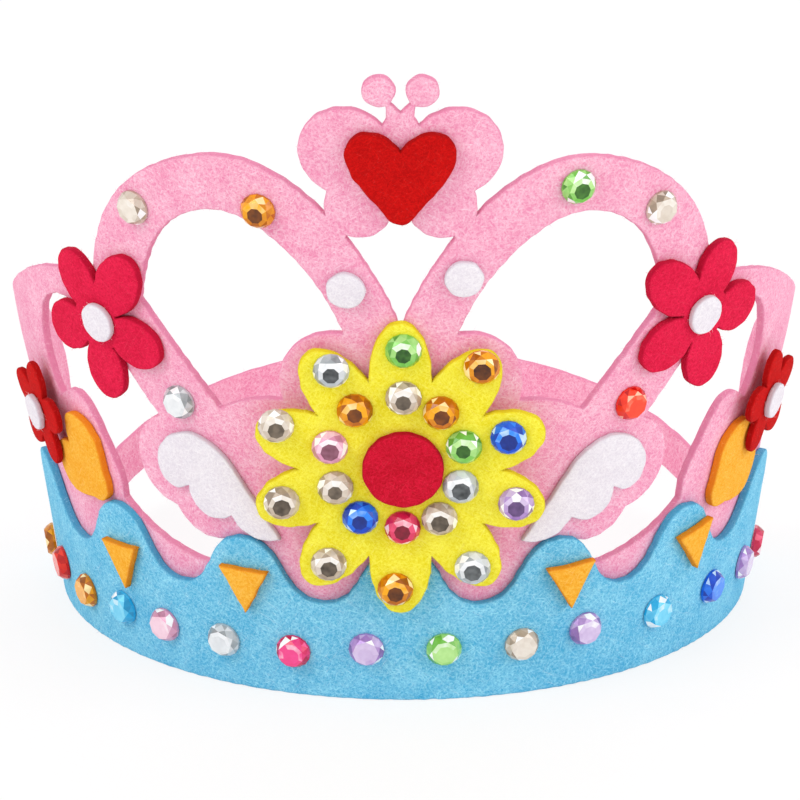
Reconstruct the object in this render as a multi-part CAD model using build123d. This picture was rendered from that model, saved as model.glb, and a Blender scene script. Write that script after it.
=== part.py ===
from build123d import *

import os
from math import atan2, cos, degrees, hypot, pi, radians, sin, tan

# A child's dress-up crown of craft felt, set with flat-backed acrylic gems.
# Millimetres. The crown stands on its bottom edge at Z = 0 with its axis on Z and its front facing -Y.
# Left and right are the viewer's, so left is -X.
# Every felt piece is drawn flat, as it is cut, and then rolled onto one cone. A flat point is
# (across from the front centre line, up from the bottom edge), on the middle of the base sheet.

# Cone that the base sheet is rolled into
RIM_RADIUS = 76.8  # middle of the base sheet at the bottom edge
FLARE = 8.62  # degrees that the sheet leans outwards
WALL_STEP = 4.0  # between the points that carry a cut edge onto the cone

# Layers
FELT = 2.0  # base, band, daisy, hoop blossoms, hearts and triangles
TRIM_FELT = 1.5  # wings, dots, side blossoms and blossom centres
GLUE_LINE = 0.1

# Base sheet, right half: outer edge from the end to the butterfly
SHEET_HALF_LENGTH = 140.0  # along the bottom edge, from the front to each end
SHEET_END_HEIGHT = 34.0
CUT_ALLOWANCE = 4.0  # the flat patterns run on below the bottom edge, which is trimmed level
ARCH_TOP = [(146.0, 47.0), (131.0, 58.8), (111.0, 74.4), (98.0, 83.0), (86.0, 88.0)]
HOOP_NOTCH = (76.0, 91.0)
HOOP_TOP = [(74.2, 100.8), (70.8, 109.2), (59.2, 122.4), (48.9, 128.1), (37.6, 130.5), (24.0, 126.0)]
BUTTERFLY_NOTCH = (16.0, 119.2)

# Base sheet, right half: window of the heart-shaped hoop
HOOP_FOOT = (12.4, 91.0)
HOOP_ARCH = [(15.6, 97.9), (24.8, 109.8), (39.6, 117.1), (53.7, 110.3), (59.8, 99.0)]
HOOP_SIDE = (61.8, 89.5)
HOOP_STRUT = (52.6, 80.2)
HOOP_LOW_NOTCH = (41.0, 68.0)
HOOP_SHOULDER = (34.0, 71.8)
CLOUD_NOTCH = (26.0, 73.2)
CLOUD_LOBE = (24.2, 86.0)

# Base sheet, right half: window under the side arch
SIDE_WING_NOTCH = (57.2, 61.5)
SIDE_STRUT = (66.0, 70.2)
SIDE_ARCH = [(76.0, 77.5), (88.0, 80.0), (96.5, 75.0), (99.0, 65.0), (97.2, 57.5)]
SIDE_ARCH_FOOT = (93.0, 51.5)
SIDE_LOBE = [(82.5, 55.4), (74.6, 46.5), (70.8, 41.0)]
SIDE_STRIP_CORNER = (69.8, 35.4)
SIDE_STRIP = (55.0, 29.3)
SIDE_STRIP_END = (38.5, 28.0)
SIDE_CLOUD_END = (38.5, 35.9)
SIDE_SCALLOP = (47.6, 35.2)
SIDE_SCALLOP_NOTCH = (52.8, 39.9)
SIDE_CLOUD = (63.8, 49.6)

# Base sheet, right half: gap between the legs of the V
V_FOOT = (0.0, 92.6)
V_LEG = [(4.1, 102.2), (8.4, 109.5)]
V_TOP = (11.7, 114.4)
V_CEILING = 123.0  # inside the butterfly, which closes the gap

# Base sheet, right half: butterfly with ball-tipped feelers
UPPER_LOBE = (11.9, 134.8)
UPPER_LOBE_RADIUS = 10.3
LOWER_LOBE = (9.1, 121.9)
LOWER_LOBE_RADIUS = 7.5
BUTTERFLY_BODY = [
    (0.0, 121.0),
    (4.0, 121.0),
    (8.0, 130.0),
    (4.2, 141.0),
    (2.9, 143.0),
    (3.4, 147.5),
    (0.0, 144.4),
]
FEELER_BALL = (4.7, 149.3)
FEELER_BALL_RADIUS = 3.75

# Band with the wavy top
BAND_HALF_LENGTH = 136.0
BAND_END_HEIGHT = 33.0
WAVE_DIP = 25.4
WAVE_TOP = 38.0
WAVE_PITCH = 32.7  # between the three front lobes on each side
WAVE_FLAT = 3.6  # half the nearly level length of each lobe and dip
SIDE_WAVE = {0.24: WAVE_DIP, 0.52: WAVE_TOP, 0.78: WAVE_DIP}  # by share of what is left to the band's end

# Strap that closes the back
STRAP_FELT = 1.5
STRAP_WIDTH = 9.0
STRAP_LAP = 16.0
STRAP_TILT = 14.0  # degrees that it rises to the back
STRAP_AXIS_HEIGHT = 4.2  # height of its middle line's plane on the crown's axis

# Wings, drawn for the right side
WING_TIP = (26.4, 38.6)
WING_SHOULDER = (37.8, 55.0)
WING_FEATHER = [(41.5, 58.4), (48.6, 60.5), (54.8, 57.0), (57.0, 51.5), (54.4, 46.2)]
WING_OUTER_NOTCH = (48.4, 47.2)
WING_MIDDLE_SCALLOP = (44.0, 40.8)
WING_INNER_NOTCH = (37.9, 42.3)
WING_INNER_SCALLOP = (33.0, 38.1)

# Daisy, a flat stiff flower on the front
DAISY_ACROSS = -0.1
DAISY_UP = 59.7
DAISY_TOP_SEAT = 94.0
DAISY_PETALS = 10
DAISY_REACH = 33.0
DAISY_EXTRA_REACH = 2.6  # the upright petals are cut longer
DAISY_NOTCH_RADIUS = 22.0
DAISY_PETAL_HALF_WIDTH = 6.9
DAISY_DISC_DIAMETER = 18.0
DAISY_DISC_PLACE = (0.6, 0.7)  # from the daisy's centre

# Blossoms beside the hoops, drawn for the left side
PETAL_CENTRE_SHARE = 0.6  # of a petal's reach, on every blossom
BLOSSOM_ANGLES = [-16.0, 51.5, 116.0, 197.0, 272.0]
BLOSSOM_REACHES = [18.7, 22.0, 17.8, 18.2, 18.5]
BLOSSOM_PETAL_WIDTH = 11.8
BLOSSOM_HUB = 6.8
BLOSSOM_DISC_DIAMETER = 9.2
BLOSSOM_PLACES = {"left": (-73.2, 80.2), "right": (72.2, 83.0)}
BLOSSOM_TURNS = {"left": 9.0, "right": 5.0}
BLOSSOM_DISC_PLACES = {"left": (-71.6, 81.2), "right": (71.2, 83.8)}

# Flat blossoms on the sides
SIDE_BLOSSOM_PETALS = 5
SIDE_BLOSSOM_REACH = 12.8
SIDE_BLOSSOM_PETAL_WIDTH = 8.6
SIDE_BLOSSOM_HUB = 4.8
SIDE_BLOSSOM_DISC_DIAMETER = 8.6
SIDE_BLOSSOM_PLACES = {"left": (-90.0, 53.8), "right": (90.0, 57.2)}  # (along the bottom edge, up)
SIDE_BLOSSOM_TURNS = {"left": 8, "right": 172}

# Hearts
HEART_WIDTH = 23.0
HEART_HEIGHT = 21.8
HEART_NOTCH = 4.4
TOP_HEART_TIP = (0.0, 118.6)
SIDE_HEART_SHARE = 0.93  # of the top heart's size
SIDE_HEART_TIPS = {"left": (-73.4, 34.4), "right": (79.0, 30.6)}
SIDE_HEART_TURNS = {"left": 61, "right": -61}

# Triangles on the band's lobes
TRIANGLE_WIDTH = 11.2
TRIANGLE_HEIGHT = 10.9
TRIANGLE_PLACES = {
    "outer_left": (-67.4, 21.8),
    "inner_left": (-34.1, 27.0),
    "inner_right": (37.1, 27.6),
    "outer_right": (71.6, 24.8),
}
TRIANGLE_TURNS = {"outer_left": 11, "inner_left": 3, "inner_right": 0, "outer_right": 4}

# Dots on the legs of the V
DOT_DIAMETER = 8.7
DOT_PLACES = {"left": (-11.7, 102.2), "right": (13.5, 104.9)}

# Gems, flat-backed round acrylic stones
GEM_DIAMETER = 8.0
GEM_TABLE_DIAMETER = 5.0
GEM_GIRDLE = 0.6
GEM_HEIGHT = 2.3
GEM_SIDES = 8
BAND_GEMS = [
    (-111.0, 12.6),
    (-97.5, 12.2),
    (-82.6, 11.0),
    (-67.4, 12.1),
    (-54.4, 11.8),
    (-38.9, 11.9),
    (-22.9, 11.8),
    (-7.2, 13.7),
    (8.9, 13.7),
    (25.6, 13.4),
    (40.1, 14.8),
    (59.4, 14.1),
    (78.6, 14.0),
    (96.4, 13.3),
    (111.0, 12.6),
]  # (along the bottom edge, up)
HOOP_GEMS = {
    "crown_left": (-30.9, 118.9),
    "crown_right": (38.8, 123.6),
    "shoulder_left": (-62.0, 112.3),
    "shoulder_right": (59.6, 113.4),
    "foot_left": (-51.1, 67.1),
    "foot_right": (53.0, 66.6),
}
DAISY_GEMS = {
    "clear": [(-15.0, 24.2), (13.2, -3.8), (15.9, -23.8)],
    "green": [(0.7, 29.0), (13.9, 5.9)],
    "amber": [(17.7, 25.2), (-9.9, 14.6), (8.9, 14.1), (-1.1, -29.2)],
    "champagne": [(-27.1, 10.9), (-26.0, -7.9), (-15.8, -23.0), (0.7, 17.7), (8.6, -11.7), (-14.2, -4.2)],
    "blue": [(23.6, 8.2), (-8.8, -11.5)],
    "lilac": [(25.4, -8.0)],
    "pink": [(-15.4, 5.7)],
    "rose": [(0.5, -13.9)],
}  # (across, up) from the daisy's centre

# Worked out from the sizes above
LEAN = radians(FLARE)
APEX_REACH = RIM_RADIUS / sin(LEAN)  # from the cone's apex to the bottom edge, along the sheet
BASE_FACE = FELT / 2
ON_BASE = BASE_FACE + GLUE_LINE
ON_BAND = ON_BASE + FELT + GLUE_LINE
FLAT_MIRROR = Plane.YZ  # swaps left and right in a flat pattern


# Rolling


def along_rim(along, up):
    """Flat point from a length along the bottom edge and a height up the sheet."""
    turn = along / APEX_REACH
    return ((APEX_REACH + up) * sin(turn), (APEX_REACH + up) * cos(turn) - APEX_REACH)


def cone_turn(point):
    """Angle round the crown's axis, in radians from the front, of a flat point."""
    return atan2(point[0], point[1] + APEX_REACH) / sin(LEAN)


def on_cone(point, lift):
    """Flat point rolled onto the cone, lifted square off the middle of the base sheet."""
    slant = hypot(point[0], point[1] + APEX_REACH)
    turn = cone_turn(point)
    radius = slant * sin(LEAN) + lift * cos(LEAN)
    height = (slant - APEX_REACH) * cos(LEAN) - lift * sin(LEAN)
    return Vector(radius * sin(turn), -radius * cos(turn), height)


def seat(point, lift):
    """Plane that touches the cone at a flat point, its Z square off the sheet and its X along the rim."""
    turn = cone_turn(point)
    outwards = Vector(cos(LEAN) * sin(turn), -cos(LEAN) * cos(turn), -sin(LEAN))
    return Plane(origin=on_cone(point, lift), x_dir=(cos(turn), sin(turn), 0), z_dir=outwards)


def cone_shell(inner_lift, outer_lift, first_turn, last_turn, height):
    """Conical shell between two lifts and two angles from the front, with a level bottom at Z = 0."""

    def corner(lift, level):
        return (RIM_RADIUS + level * tan(LEAN) + lift / cos(LEAN), level)

    section = Polygon(
        corner(inner_lift, 0),
        corner(outer_lift, 0),
        corner(outer_lift, height),
        corner(inner_lift, height),
        align=None,
    )
    swept = revolve(Plane.XZ * section, axis=Axis.Z, revolution_arc=last_turn - first_turn)
    return (Rot(0, 0, first_turn - 90) * swept).solid()


def cut_wall(edge, low, high):
    """Ruled wall, square to the sheet, over one edge of a flat pattern."""
    steps = 4 + int(edge.length / WALL_STEP)
    points = [edge @ (step / steps) for step in range(steps + 1)]
    inner, outer = ([on_cone((p.X, p.Y), lift) for p in points] for lift in (low, high))
    return Face.make_surface_from_curves(Edge.make_spline(inner), Edge.make_spline(outer))


def point_inside(face):
    """Flat point just inside the topmost cut edge of a pattern."""
    edge = face.outer_wire().edges().sort_by(Axis.Y)[-1]
    inward = (edge % 0.5).rotate(Axis.Z, 90) * GLUE_LINE
    point = edge @ 0.5 + inward
    return point if face.is_inside(point) else edge @ 0.5 - inward


def rolled(pattern, lift, thickness):
    """Felt cut to a flat pattern and rolled onto the cone with its back face at a lift."""
    face = pattern.face()
    box = face.bounding_box()
    corners = [(x, y) for x in (box.min.X, box.max.X) for y in (box.min.Y, box.max.Y)]
    turns = [degrees(cone_turn(corner)) for corner in corners]
    margin = FELT + thickness  # room round the pattern in the blank
    side_margin = degrees(margin / RIM_RADIUS)
    height = max(hypot(x, y + APEX_REACH) for x, y in corners) - APEX_REACH + margin
    piece = cone_shell(lift, lift + thickness, min(turns) - side_margin, max(turns) + side_margin, height)
    point = point_inside(face)
    kept = on_cone((point.X, point.Y), lift + thickness / 2)
    for wire in face.wires():
        walls = [cut_wall(edge, lift - margin / 4, lift + thickness + margin / 4) for edge in wire.edges()]
        parts = piece.split(Shell(walls), keep=Keep.ALL)
        piece = next(part for part in parts if part.is_inside(kept))
    return piece


# Flat patterns


def butterfly_half():
    """Right half of the butterfly on the top: two wing lobes, the body and a ball-tipped feeler."""
    upper_lobe = Pos(*UPPER_LOBE) * Circle(UPPER_LOBE_RADIUS)
    lower_lobe = Pos(*LOWER_LOBE) * Circle(LOWER_LOBE_RADIUS)
    ball = Pos(*FEELER_BALL) * Circle(FEELER_BALL_RADIUS)
    return upper_lobe + lower_lobe + ball + Polygon(*BUTTERFLY_BODY, align=None)


def hoop_window():
    """Opening of the right heart-shaped hoop."""
    arch = Spline(HOOP_FOOT, *HOOP_ARCH, HOOP_SIDE)
    strut = ThreePointArc(HOOP_SIDE, HOOP_STRUT, HOOP_LOW_NOTCH)
    shoulder = ThreePointArc(HOOP_LOW_NOTCH, HOOP_SHOULDER, CLOUD_NOTCH)
    cloud = ThreePointArc(CLOUD_NOTCH, CLOUD_LOBE, HOOP_FOOT)
    return make_face(arch + strut + shoulder + cloud)


def side_window():
    """Opening between the right strut, the side arch, the heart's lobe and the wing's cloud."""
    strut = Line(SIDE_WING_NOTCH, SIDE_STRUT)
    arch = Spline(SIDE_STRUT, *SIDE_ARCH, SIDE_ARCH_FOOT)
    lobe = Spline(SIDE_ARCH_FOOT, *SIDE_LOBE, SIDE_STRIP_CORNER)
    strip = ThreePointArc(SIDE_STRIP_CORNER, SIDE_STRIP, SIDE_STRIP_END)
    hidden_end = Line(SIDE_STRIP_END, SIDE_CLOUD_END)
    scallop = ThreePointArc(SIDE_CLOUD_END, SIDE_SCALLOP, SIDE_SCALLOP_NOTCH)
    cloud = ThreePointArc(SIDE_SCALLOP_NOTCH, SIDE_CLOUD, SIDE_WING_NOTCH)
    return make_face(strut + arch + lobe + strip + hidden_end + scallop + cloud)


def v_window_half():
    """Right half of the gap between the legs of the V, under the butterfly."""
    leg = Spline(V_FOOT, *V_LEG, V_TOP)
    ceiling = Polyline(V_TOP, (LOWER_LOBE[0], V_CEILING), (0, V_CEILING), V_FOOT)
    return make_face(leg + ceiling)


def base_pattern():
    """Base sheet: the low strip, the side arches, the hoops and the butterfly."""
    foot = -CUT_ALLOWANCE
    end_foot, end_top = along_rim(SHEET_HALF_LENGTH, foot), along_rim(SHEET_HALF_LENGTH, SHEET_END_HEIGHT)
    bottom = ThreePointArc((0, foot), along_rim(SHEET_HALF_LENGTH / 2, foot), end_foot)
    end = Line(end_foot, end_top)
    arch = Spline(end_top, *ARCH_TOP, HOOP_NOTCH)
    hoop = Spline(HOOP_NOTCH, *HOOP_TOP, BUTTERFLY_NOTCH)
    middle = Polyline(BUTTERFLY_NOTCH, (0, BUTTERFLY_NOTCH[1]), (0, foot))
    sheet = make_face(bottom + end + arch + hoop + middle)
    half = sheet - hoop_window() - side_window() - v_window_half() + butterfly_half()
    return half + mirror(half, about=FLAT_MIRROR)


def band_pattern():
    """Band along the bottom edge, its top waving between lobes and dips."""
    front = [(step * WAVE_PITCH / 2, WAVE_DIP if step % 2 else WAVE_TOP) for step in range(5)]
    front_length, _ = front[-1]
    side_length = BAND_HALF_LENGTH - front_length
    wave = front + [(front_length + share * side_length, up) for share, up in SIDE_WAVE.items()]
    right = [(along + flat, up) for along, up in wave for flat in (-WAVE_FLAT, WAVE_FLAT)][1:]
    right.append((BAND_HALF_LENGTH, BAND_END_HEIGHT))
    top = [along_rim(-along, up) for along, up in reversed(right)] + [along_rim(*point) for point in right]
    left_foot, middle_foot, right_foot = (
        along_rim(along, -CUT_ALLOWANCE) for along in (-BAND_HALF_LENGTH, 0, BAND_HALF_LENGTH)
    )
    bottom = ThreePointArc(right_foot, middle_foot, left_foot)
    return make_face(Spline(*top) + Line(top[-1], right_foot) + bottom + Line(left_foot, top[0]))


def wing_pattern():
    """Right wing: a straight inner edge, a round feather and two scallops below."""
    inner_edge = Line(WING_TIP, WING_SHOULDER)
    feather = Spline(WING_SHOULDER, *WING_FEATHER, WING_OUTER_NOTCH)
    middle_scallop = ThreePointArc(WING_OUTER_NOTCH, WING_MIDDLE_SCALLOP, WING_INNER_NOTCH)
    inner_scallop = ThreePointArc(WING_INNER_NOTCH, WING_INNER_SCALLOP, WING_TIP)
    return make_face(inner_edge + feather + middle_scallop + inner_scallop)


def heart_pattern(share=1.0):
    """Heart with its tip at the origin, pointing down, at a share of the full size."""
    half, top, dip = HEART_WIDTH / 2 * share, HEART_HEIGHT * share, HEART_NOTCH * share
    right = Spline(
        (0, top - dip),
        (0.28 * half, top - 0.3 * dip),
        (0.57 * half, top),
        (half, top - half / 2),
        (0.82 * half, 0.37 * top),
        (0.36 * half, 0.11 * top),
        (0, 0),
        tangents=((0.35, 1.0), (-1.0, -0.3)),
    )
    return make_face(right + mirror(right, about=FLAT_MIRROR))


def petal(angle, centre, reach, half_width):
    """One oval petal, pointing at an angle from X, from its centre's radius to its reach."""
    return Rot(0, 0, angle) * Pos(centre, 0) * Ellipse(reach - centre, half_width)


def daisy_pattern():
    """Ten round-ended petals on a full disc."""
    flower = Circle(DAISY_NOTCH_RADIUS)
    for index in range(DAISY_PETALS):
        angle = 90 + index * 360 / DAISY_PETALS
        reach = DAISY_REACH + DAISY_EXTRA_REACH * sin(radians(angle)) ** 2
        flower += petal(angle, DAISY_NOTCH_RADIUS, reach, DAISY_PETAL_HALF_WIDTH)
    return flower


def blossom_pattern(angles, reaches, width, hub):
    """Separate oval petals that meet in a small hub."""
    flower = Circle(hub)
    for angle, reach in zip(angles, reaches):
        flower += petal(angle, PETAL_CENTRE_SHARE * reach, reach, width / 2)
    return flower


def triangle_pattern():
    """Triangle that points down, about its centre."""
    half, above = TRIANGLE_WIDTH / 2, TRIANGLE_HEIGHT / 3
    return Polygon((-half, above), (half, above), (0, above - TRIANGLE_HEIGHT), align=None)


def placed(pattern, place, turn=0):
    """Flat pattern turned and moved to its place on the sheet."""
    return Pos(*place) * Rot(0, 0, turn) * pattern


# Solids


def gem():
    """Round stone with a flat back, a thin girdle and an eight-sided table ringed by facets."""
    girdle, table = GEM_DIAMETER / 2, GEM_TABLE_DIAMETER / 2
    corners = 2 * GEM_SIDES

    def ring(radius, height, step=1):
        turns = [pi * count / GEM_SIDES for count in range(0, corners, step)]
        return [Vector(radius * cos(turn), radius * sin(turn), height) for turn in turns]

    back, rim, top = ring(girdle, 0), ring(girdle, GEM_GIRDLE), ring(table, GEM_HEIGHT, step=2)
    facets = [back[::-1], top]
    for count in range(corners):
        after = (count + 1) % corners
        facets.append([back[count], back[after], rim[after], rim[count]])
        facets.append([rim[count], rim[after], top[(count + 1) // 2 % GEM_SIDES]])
    for count in range(GEM_SIDES):
        facets.append([rim[2 * count + 1], top[(count + 1) % GEM_SIDES], top[count]])
    return Solid(Shell([Face(Wire.make_polygon(facet)) for facet in facets]))


def strap():
    """Straight strip inside the sheet's ends that rises round the back."""
    first = degrees((SHEET_HALF_LENGTH - STRAP_LAP) / RIM_RADIUS)
    outer = -BASE_FACE - GLUE_LINE
    ring = cone_shell(outer - STRAP_FELT, outer, first, 360 - first, RIM_RADIUS)
    tilt = radians(STRAP_TILT)
    level = Plane(origin=(0, 0, STRAP_AXIS_HEIGHT), z_dir=(0, -sin(tilt), cos(tilt)))
    return ring & level * Box(4 * RIM_RADIUS, 4 * RIM_RADIUS, STRAP_WIDTH)


def daisy_back():
    """Back of the flat daisy: it lies on the band's middle lobe and on the sheet near its top petal."""
    foot, head = on_cone((0, WAVE_TOP), ON_BAND), on_cone((0, DAISY_TOP_SEAT), ON_BASE)
    rise = (head - foot).normalized()
    across = Vector(1, 0, 0)
    origin = foot + across * DAISY_ACROSS + rise * (DAISY_UP - WAVE_TOP)
    return Plane(origin=origin, x_dir=across, z_dir=across.cross(rise))


def sheet_nodes():
    """The base sheet, the band and the strap."""
    return {
        "base_sheet": rolled(base_pattern(), -BASE_FACE, FELT),
        "wavy_band": rolled(band_pattern(), ON_BASE, FELT),
        "back_strap": strap(),
    }


def rolled_trim_nodes():
    """Every piece of trim that follows the cone."""
    nodes = {"top_heart": rolled(placed(heart_pattern(), TOP_HEART_TIP), ON_BASE, FELT)}
    petals = blossom_pattern(BLOSSOM_ANGLES, BLOSSOM_REACHES, BLOSSOM_PETAL_WIDTH, BLOSSOM_HUB)
    blossoms = {"left": petals, "right": mirror(petals, about=FLAT_MIRROR)}
    wings = {"left": mirror(wing_pattern(), about=FLAT_MIRROR), "right": wing_pattern()}
    centre, dot = Circle(BLOSSOM_DISC_DIAMETER / 2), Circle(DOT_DIAMETER / 2)
    for side in ("left", "right"):
        heart = placed(heart_pattern(SIDE_HEART_SHARE), SIDE_HEART_TIPS[side], SIDE_HEART_TURNS[side])
        nodes[f"wing_{side}"] = rolled(wings[side], ON_BASE, TRIM_FELT)
        nodes[f"dot_{side}"] = rolled(placed(dot, DOT_PLACES[side]), ON_BASE, TRIM_FELT)
        blossom = placed(blossoms[side], BLOSSOM_PLACES[side], BLOSSOM_TURNS[side])
        disc = placed(centre, BLOSSOM_DISC_PLACES[side])
        nodes[f"blossom_{side}"] = rolled(blossom, ON_BASE, FELT)
        nodes[f"blossom_centre_{side}"] = rolled(disc, ON_BAND, TRIM_FELT)
        nodes[f"side_heart_{side}"] = rolled(heart, ON_BASE, FELT)
    for name, place in TRIANGLE_PLACES.items():
        triangle = placed(triangle_pattern(), place, TRIANGLE_TURNS[name])
        nodes[f"triangle_{name}"] = rolled(triangle, ON_BAND, FELT)
    return nodes


def daisy_nodes():
    """The flat daisy, its disc and its stones, grouped by colour."""
    back = daisy_back()
    front = back.offset(FELT + GLUE_LINE)
    disc = Pos(*DAISY_DISC_PLACE) * Circle(DAISY_DISC_DIAMETER / 2)
    nodes = {"daisy": back * extrude(daisy_pattern(), FELT), "daisy_centre": front * extrude(disc, FELT)}
    for colour, places in DAISY_GEMS.items():
        nodes[f"daisy_gems_{colour}"] = Compound(children=[front * Pos(*place) * gem() for place in places])
    return nodes


def side_blossom_nodes():
    """The flat blossoms that lie on the side hearts and the band's side lobes, with their discs."""
    nodes = {}
    angles = [index * 360 / SIDE_BLOSSOM_PETALS for index in range(SIDE_BLOSSOM_PETALS)]
    reaches = [SIDE_BLOSSOM_REACH] * SIDE_BLOSSOM_PETALS
    petals = blossom_pattern(angles, reaches, SIDE_BLOSSOM_PETAL_WIDTH, SIDE_BLOSSOM_HUB)
    disc = Circle(SIDE_BLOSSOM_DISC_DIAMETER / 2)
    for side, place in SIDE_BLOSSOM_PLACES.items():
        back = seat(along_rim(*place), ON_BAND)
        front = back.offset(TRIM_FELT + GLUE_LINE)
        flower = Rot(0, 0, SIDE_BLOSSOM_TURNS[side]) * extrude(petals, TRIM_FELT)
        nodes[f"side_blossom_{side}"] = back * flower
        nodes[f"side_blossom_centre_{side}"] = front * extrude(disc, TRIM_FELT)
    return nodes


def gem_nodes():
    """Stones on the band and on the hoops."""
    nodes = {}
    for number, place in enumerate(BAND_GEMS, start=1):
        nodes[f"band_gem_{number:02d}"] = seat(along_rim(*place), ON_BAND) * gem()
    for name, place in HOOP_GEMS.items():
        nodes[f"hoop_gem_{name}"] = seat(place, ON_BASE) * gem()
    return nodes


os.makedirs("parts", exist_ok=True)
for group in (sheet_nodes(), rolled_trim_nodes(), daisy_nodes(), side_blossom_nodes(), gem_nodes()):
    for node, shape in group.items():
        export_step(shape, f"parts/{node}.step")
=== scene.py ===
import logging
import math
from collections.abc import Iterator
from dataclasses import dataclass, field
from enum import Enum
from typing import Any

import bpy
import numpy as np
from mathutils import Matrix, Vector
from mathutils.geometry import delaunay_2d_cdt
from numpy.typing import NDArray


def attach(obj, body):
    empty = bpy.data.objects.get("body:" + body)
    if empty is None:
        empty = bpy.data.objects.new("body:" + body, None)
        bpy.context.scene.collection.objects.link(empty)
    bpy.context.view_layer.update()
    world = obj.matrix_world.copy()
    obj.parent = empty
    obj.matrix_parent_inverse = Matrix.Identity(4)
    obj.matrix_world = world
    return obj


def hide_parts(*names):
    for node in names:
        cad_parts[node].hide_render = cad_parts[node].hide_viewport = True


# A child's dress-up crown of needle-punched craft felt, set with foil-backed acrylic stones.
# Shapes are worked out in millimetres and put into the meshes in metres.
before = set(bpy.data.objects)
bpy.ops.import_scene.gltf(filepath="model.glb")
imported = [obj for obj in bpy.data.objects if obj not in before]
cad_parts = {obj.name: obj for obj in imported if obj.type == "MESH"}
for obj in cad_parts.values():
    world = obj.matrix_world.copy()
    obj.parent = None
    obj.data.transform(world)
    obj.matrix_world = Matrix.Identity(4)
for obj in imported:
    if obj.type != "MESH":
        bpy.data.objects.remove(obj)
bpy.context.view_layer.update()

MM = 0.001
BODY = "root"
FLAT = "flat"  # point attribute: a felt point's place in its flat cut, in metres
EDGE = "edge"  # point attribute: 1 on a felt's cut edge, 0 on its faces; where the edge's painted shade goes
PAINTED_REFLECTION = "tone"  # face attribute: painted reflection, how much light the foil behind a facet is painted as throwing back
Points = NDArray[np.float64]
Indices = NDArray[np.int64]
log = logging.getLogger("felt_crown")


# Helpers


def linear(hex_colour: str) -> tuple[float, float, float, float]:
    """Turns an sRGB hex colour into linear light by the standard curve.

    Args:
        hex_colour: Colour as #RRGGBB.

    Returns:
        Linear red, green, blue and an alpha of 1.
    """
    coded = np.array([int(hex_colour[start : start + 2], 16) for start in (1, 3, 5)]) / 255
    light = np.where(coded <= 0.04045, coded / 12.92, ((coded + 0.055) / 1.055) ** 2.4)
    return (*map(float, light), 1.0)


def add_node(tree: Any, kind: str, inputs: dict | None = None, **settings: Any) -> Any:
    """Adds one shader node with its settings, values and links.

    Args:
        tree: Node tree that gets the node.
        kind: Blender's name of the node type, without ShaderNode.
        inputs: Value, socket or node, by the input's name or number. A node links its first output.
        settings: Properties of the node, set before its inputs.

    Returns:
        The new node.
    """
    node = tree.nodes.new(f"ShaderNode{kind}")
    for name, value in settings.items():
        setattr(node, name, value)
    for name, value in (inputs or {}).items():
        if isinstance(value, bpy.types.Node):
            value = value.outputs[0]
        if isinstance(value, bpy.types.NodeSocket):
            tree.links.new(value, node.inputs[name])
        else:
            node.inputs[name].default_value = value
    return node


def new_material(name: str) -> tuple[Any, Any]:
    """Makes an empty node material.

    Args:
        name: Name of the material.

    Returns:
        The material and its node tree, without nodes.
    """
    material = bpy.data.materials.new(name)
    material.use_nodes = True
    material.node_tree.nodes.clear()
    return material, material.node_tree


def new_object(
    name: str, points: Points, faces: Indices, smooth: bool, attributes: dict[str, Points] | None = None
) -> bpy.types.Object:
    """Puts arrays of points and equal-sided faces into a mesh object at the origin.

    Args:
        name: Name of the piece.
        points: Points in millimetres, one row each.
        faces: Point numbers, one row for each face.
        smooth: Whether the faces are shaded smooth.
        attributes: What a material reads by name, one number or vector for each point or each face.

    Returns:
        The object, linked to the scene.
    """
    mesh = bpy.data.meshes.new(name)
    mesh.from_pydata((points * MM).tolist(), [], faces.tolist(), shade_flat=not smooth)
    for label, values in (attributes or {}).items():
        kind, key = ("FLOAT_VECTOR", "vector") if values.ndim == 2 else ("FLOAT", "value")
        domain = "POINT" if len(values) == len(points) else "FACE"
        mesh.attributes.new(label, kind, domain).data.foreach_set(key, values.astype(np.float32).ravel())
    piece = bpy.data.objects.new(name, mesh)
    bpy.context.scene.collection.objects.link(piece)
    return piece


def settle(piece: bpy.types.Object, material: Any, slot: str, node: str = "") -> None:
    """Dresses a piece and puts it on the crown's body.

    Args:
        piece: The piece.
        material: Its material.
        slot: Slot of the record that its finish comes from. Not used.
        node: CAD node that it stands for, if any.
    """
    piece.data.materials.append(material)
    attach(piece, BODY)
    if node:
        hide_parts(node)


def node_mesh(name: str) -> tuple[Points, Indices]:
    """Reads a CAD node as merged points and triangles.

    Args:
        name: Name of the CAD node.

    Returns:
        Points in millimetres, and triangles as rows of point numbers.
    """
    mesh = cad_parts[name].data
    mesh.calc_loop_triangles()
    points = np.empty(len(mesh.vertices) * 3)
    mesh.vertices.foreach_get("co", points)
    triangles = np.empty(len(mesh.loop_triangles) * 3, dtype=np.int32)
    mesh.loop_triangles.foreach_get("vertices", triangles)
    merged, places = np.unique(np.round(points.reshape(-1, 3) / MM, 3), axis=0, return_inverse=True)
    return merged, places.reshape(-1)[triangles.reshape(-1, 3)]


def closed_loops(edges: Indices) -> list[Indices]:
    """Chains directed edges into closed loops by doubling pointers, each loop from its lowest point.

    Args:
        edges: Rows of first and next point number. Each point starts one edge.

    Returns:
        The point numbers of each loop, in order.
    """
    starts, follow = edges[np.argsort(edges[:, 0])].T
    follow = np.searchsorted(starts, follow)
    own = np.arange(len(starts))
    leader, jump = own, follow
    for _ in range(len(starts).bit_length()):
        leader, jump = np.minimum(leader, leader[jump]), jump[jump]
    last = follow == leader
    left, jump = np.where(last, 0, 1), np.where(last, own, follow)
    for _ in range(len(starts).bit_length()):
        left, jump = left + left[jump], jump[jump]
    order = np.lexsort((-left, leader))
    return np.split(starts[order], np.flatnonzero(np.diff(leader[order])) + 1)


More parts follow.
